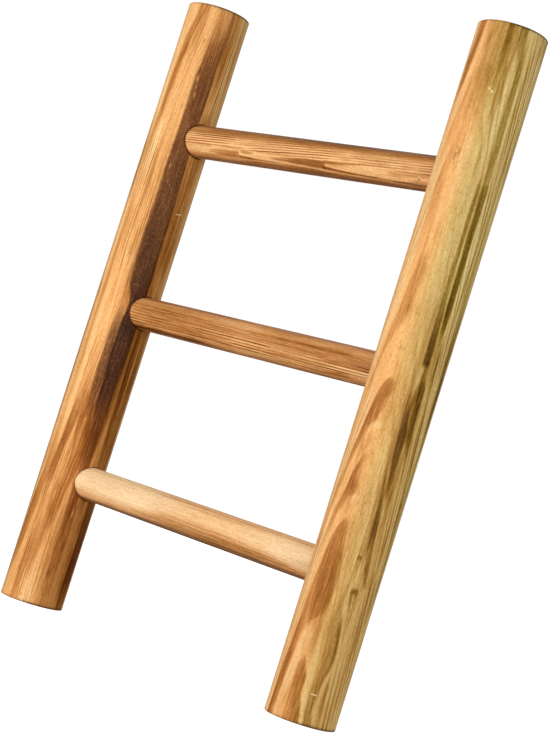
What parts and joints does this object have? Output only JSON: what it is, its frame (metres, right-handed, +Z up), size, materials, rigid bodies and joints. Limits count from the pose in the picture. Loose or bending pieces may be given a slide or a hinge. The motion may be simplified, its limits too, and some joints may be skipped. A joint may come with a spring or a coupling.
{
  "type": "towel ladder",
  "caption": "Small wooden towel ladder: round pine rails joined by round rungs set in blind bores. It stands or leans, and towels hang over the rungs.",
  "frame": {"origin": "on the floor, midway between the feet of the two rails", "axes": "+Z up along the rails, +X from the left rail to the right rail, -Y is the front"},
  "size_m": [0.35, 0.05, 0.49],
  "materials": {
    "rail_pine": "flamed and oiled pine, satin, with dark grain streaks",
    "rung_pine": "flamed and oiled pine dowel, satin, fine dark grain lines",
    "pale_rung_pine": "lightly flamed and oiled pine dowel, satin, pale",
    "pin_steel": "plain steel lost-head nail"
  },
  "bodies": {
    "root": {"left_rail": "rail_pine", "right_rail": "rail_pine", "top_rung": "rung_pine", "middle_rung": "rung_pine", "bottom_rung": "pale_rung_pine", "bottom_left_pin": "pin_steel", "bottom_right_pin": "pin_steel", "middle_left_pin": "pin_steel", "middle_right_pin": "pin_steel", "top_left_pin": "pin_steel", "top_right_pin": "pin_steel"}
  },
  "joints": []
}
